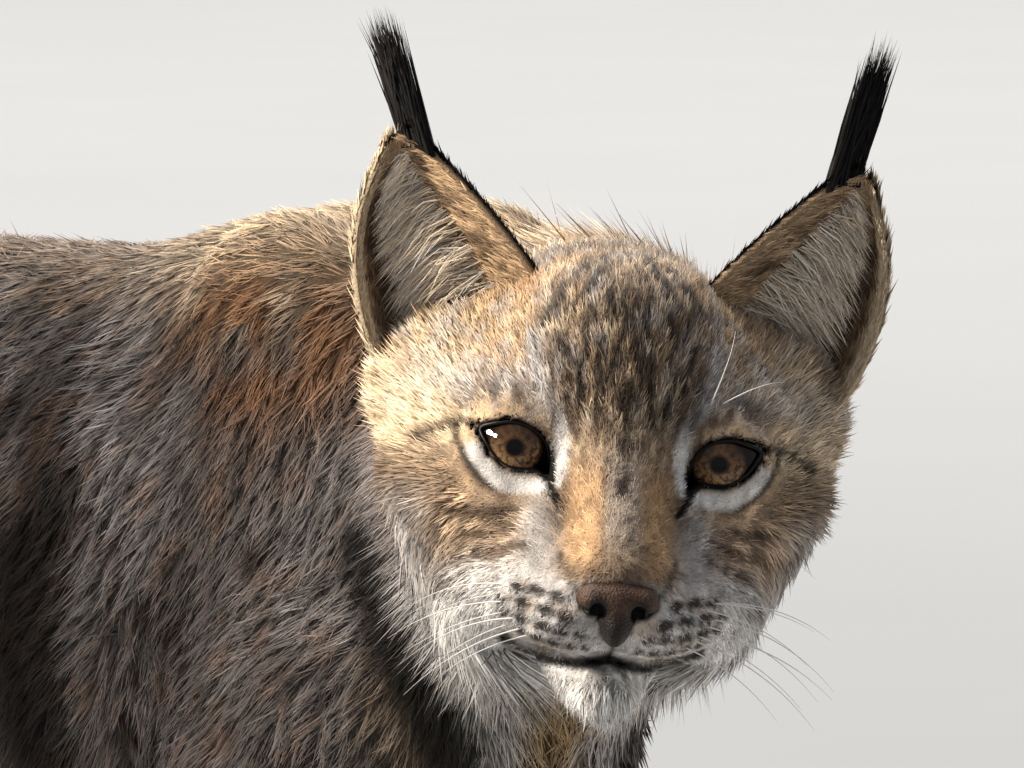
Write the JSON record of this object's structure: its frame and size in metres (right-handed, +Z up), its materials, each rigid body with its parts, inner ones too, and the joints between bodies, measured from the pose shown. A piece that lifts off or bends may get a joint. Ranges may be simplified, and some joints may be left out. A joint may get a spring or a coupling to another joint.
{
  "type": "eurasian lynx model",
  "caption": "Life-size still model of a Eurasian lynx standing on four paws, head lowered and turned to its right, with tufted ears, ruff and short tail.",
  "frame": {"origin": "on the floor, under the middle of the bounding box", "axes": "+X towards the head end, +Y to the animal's left, +Z up"},
  "size_m": [0.9376, 0.2786, 0.7184],
  "materials": {
    "coat_head": "short dense fur, grey-brown with darker stripes, longer and paler in the ruff",
    "coat_ears": "short fur, pale rim and inner hair, black tuft",
    "coat_body": "long soft silver-grey and rusty fur with dark spots",
    "coat_legs": "short ochre-grey fur with dark spots",
    "coat_paws": "short pale fur over broad pads",
    "coat_tail": "dense fur, black at the tip",
    "eyes": "wet, amber-brown iris and round black pupil",
    "nose_leather": "moist dark brown leather"
  },
  "bodies": {
    "root": {"nose": "nose_leather", "eye_left": "eyes", "eye_right": "eyes", "head": "coat_head", "ear_left": "coat_ears", "ear_right": "coat_ears", "torso": "coat_body", "neck": "coat_body", "leg_front_right": "coat_legs", "paw_front_right": "coat_paws", "leg_front_left": "coat_legs", "paw_front_left": "coat_paws", "leg_hind_right": "coat_legs", "paw_hind_right": "coat_paws", "leg_hind_left": "coat_legs", "paw_hind_left": "coat_paws", "tail": "coat_tail"}
  },
  "joints": []
}
